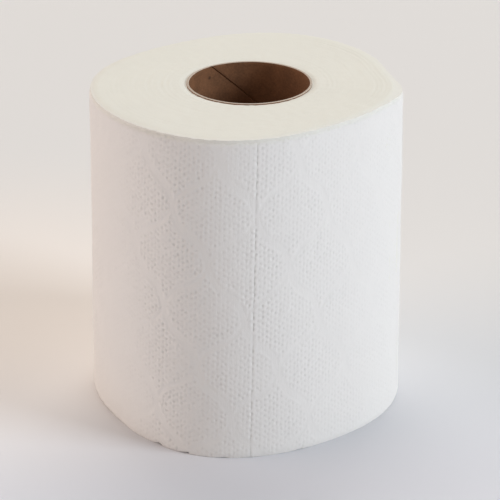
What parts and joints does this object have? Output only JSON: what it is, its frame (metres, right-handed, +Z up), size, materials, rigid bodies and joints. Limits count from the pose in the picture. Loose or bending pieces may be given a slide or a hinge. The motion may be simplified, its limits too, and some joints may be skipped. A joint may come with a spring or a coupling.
{
  "type": "toilet paper roll",
  "caption": "Standing roll of quilted toilet tissue wound on a card core, with perforated sheets and a glued tail.",
  "frame": {"origin": "on the core's axis, at the level of the end that the roll stands on", "axes": "+Z up along the core's axis; +X to the right and +Y away, seen from the side that shows the perforation line"},
  "size_m": [0.0981, 0.098, 0.102],
  "materials": {
    "tissue_paper": "embossed two-ply tissue, matt",
    "core_board": "grey-brown spiral-wound core board, matt"
  },
  "bodies": {
    "root": {"paper_winding": "tissue_paper", "core_tube": "core_board"}
  },
  "joints": []
}
